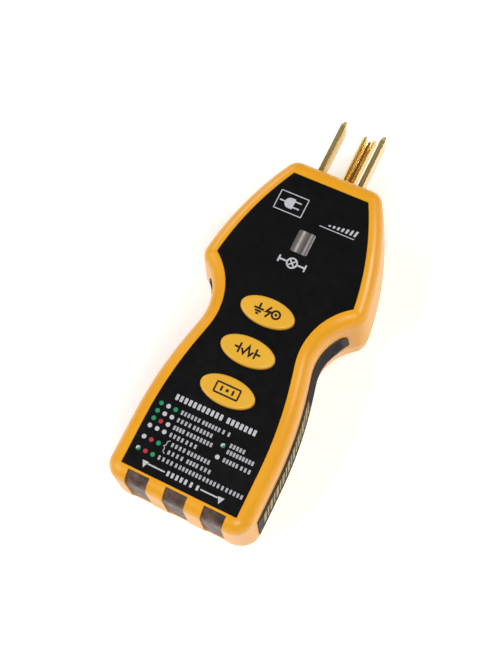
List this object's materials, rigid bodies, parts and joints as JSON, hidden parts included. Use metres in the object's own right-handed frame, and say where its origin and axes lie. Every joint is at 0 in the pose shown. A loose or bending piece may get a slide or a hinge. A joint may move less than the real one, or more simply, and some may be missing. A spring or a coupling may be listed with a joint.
{
  "type": "outlet tester plug",
  "caption": "Hand-held plug-in outlet tester with a grounded plug at its nose, oval push buttons, smoked lamp windows and rubber side grips.",
  "frame": {"origin": "on the flat back, on the centre line, right under the middle button", "axes": "+Y runs towards the prongs, +Z comes out of the printed face, +X is to the right when the face is read with the prongs up"},
  "size_m": [0.0526, 0.1302, 0.0285],
  "materials": {
    "yellow_plastic": "satin",
    "button_plastic": "satin",
    "label_film": "satin",
    "rating_film": "satin",
    "grip_rubber": "matte",
    "smoke_lens": "polished",
    "led_resin": "polished",
    "board_laminate": "satin",
    "black_plastic": "matte",
    "key_plastic": "satin",
    "brass": "polished",
    "steel": "brushed",
    "lead_jacket": "satin",
    "capacitor_case": "satin",
    "varistor_coat": "matte",
    "fuse_glass": "polished",
    "ceramic": "matte",
    "capacitor_can": "satin"
  },
  "bodies": {
    "tester_body": {"afci_switch": "black_plastic", "board_screws": "steel", "circuit_board": "board_laminate", "face_label": "label_film", "filter_capacitor": "capacitor_case", "front_cover": "yellow_plastic", "fuse": "fuse_glass", "fuse_clips": "brass", "gfci_switch": "black_plastic", "ground_lead": "lead_jacket", "ground_pin": "brass", "hot_blade": "brass", "housing_screws": "steel", "lamp_baffle": "black_plastic", "left_grip": "grip_rubber", "left_lamp_lens": "smoke_lens", "left_led": "led_resin", "load_resistor": "ceramic", "microcontroller": "black_plastic", "middle_lamp_lens": "smoke_lens", "middle_led": "led_resin", "neutral_blade": "brass", "neutral_switch": "black_plastic", "prong_carrier": "black_plastic", "prong_retainer": "black_plastic", "rear_cover": "yellow_plastic", "rear_label": "rating_film", "reservoir_capacitor": "capacitor_can", "retainer_screws": "steel", "right_grip": "grip_rubber", "right_lamp_lens": "smoke_lens", "right_led": "led_resin", "test_led": "led_resin", "test_lens": "smoke_lens", "triac": "black_plastic", "varistor": "varistor_coat"},
    "gfci_key": {"gfci_button": "button_plastic", "gfci_plunger": "key_plastic"},
    "afci_key": {"afci_button": "button_plastic", "afci_plunger": "key_plastic"},
    "neutral_key": {"neutral_button": "button_plastic", "neutral_plunger": "key_plastic"}
  },
  "joints": [
    {"name": "gfci_press", "type": "slide", "parent": "tester_body", "child": "gfci_key", "axis": [0, 0, -1], "range_m": [0, 0.0006], "stiffness_N_per_m": 900, "springref_m": -0.0005},
    {"name": "afci_press", "type": "slide", "parent": "tester_body", "child": "afci_key", "axis": [0, 0, -1], "range_m": [0, 0.0006], "stiffness_N_per_m": 900, "springref_m": -0.0005},
    {"name": "neutral_press", "type": "slide", "parent": "tester_body", "child": "neutral_key", "axis": [0, 0, -1], "range_m": [0, 0.0006], "stiffness_N_per_m": 900, "springref_m": -0.0005}
  ]
}
